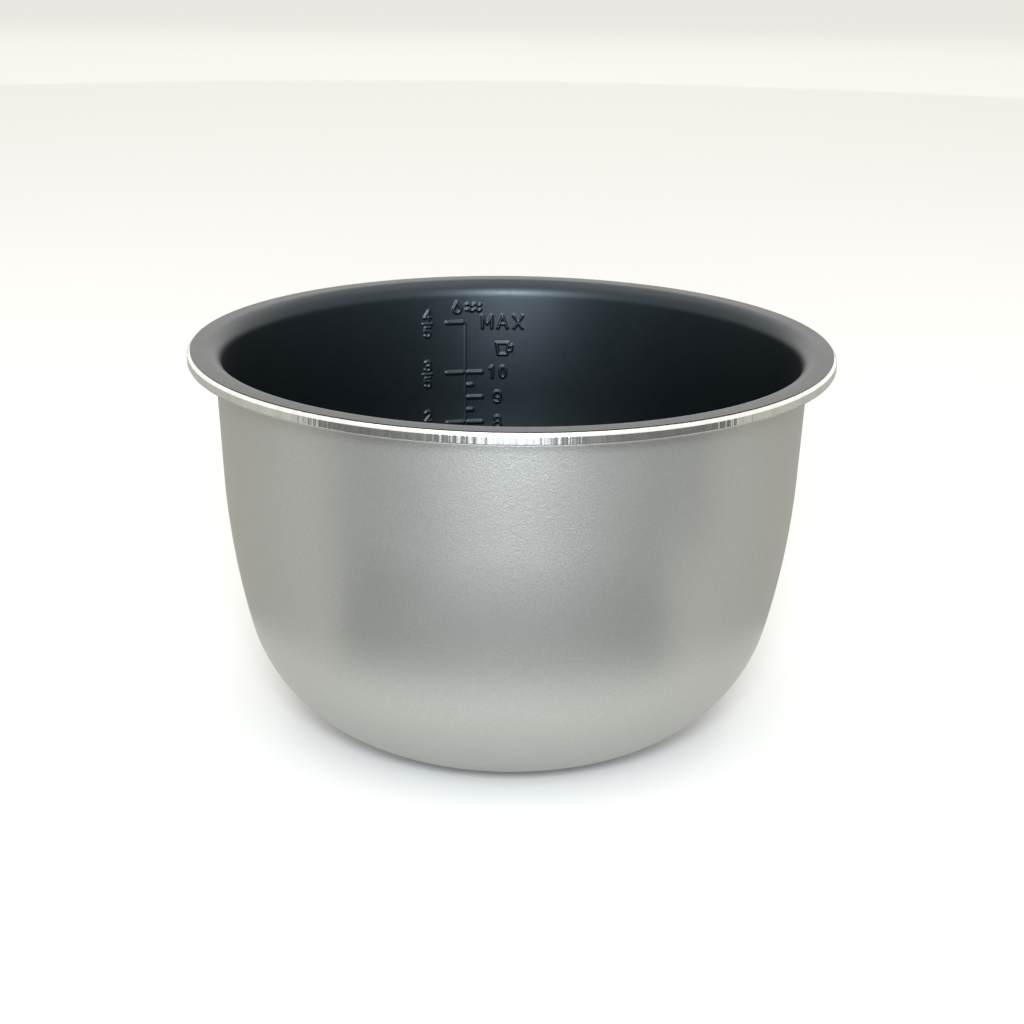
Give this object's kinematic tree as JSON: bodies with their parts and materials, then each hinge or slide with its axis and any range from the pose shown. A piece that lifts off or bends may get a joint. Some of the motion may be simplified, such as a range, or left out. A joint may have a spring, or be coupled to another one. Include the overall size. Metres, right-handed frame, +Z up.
{
  "type": "rice cooker inner pot",
  "caption": "Deep round inner pot for a rice cooker: a flat rim flange to lift and seat it by, raised level marks inside, and a flat contact ring under the bowl.",
  "frame": {"origin": "centre of the base, in the plane of the contact ring that the pot stands on", "axes": "+Z up along the pot's axis, out of the mouth; the level marks are inside the +Y wall and face -Y, and +X is to their right"},
  "size_m": [0.24, 0.24, 0.15],
  "materials": {
    "bare_aluminium": "turned bright, bare metal at the flange edge and the base ring",
    "black_nonstick": "semi-matt non-stick coating, black with a slight blue cast",
    "silver_paint": "satin silver metallic paint with a fine grain"
  },
  "bodies": {
    "root": {"pot_shell": "bare_aluminium", "nonstick_lining": "black_nonstick", "outer_coat": "silver_paint"}
  },
  "joints": []
}
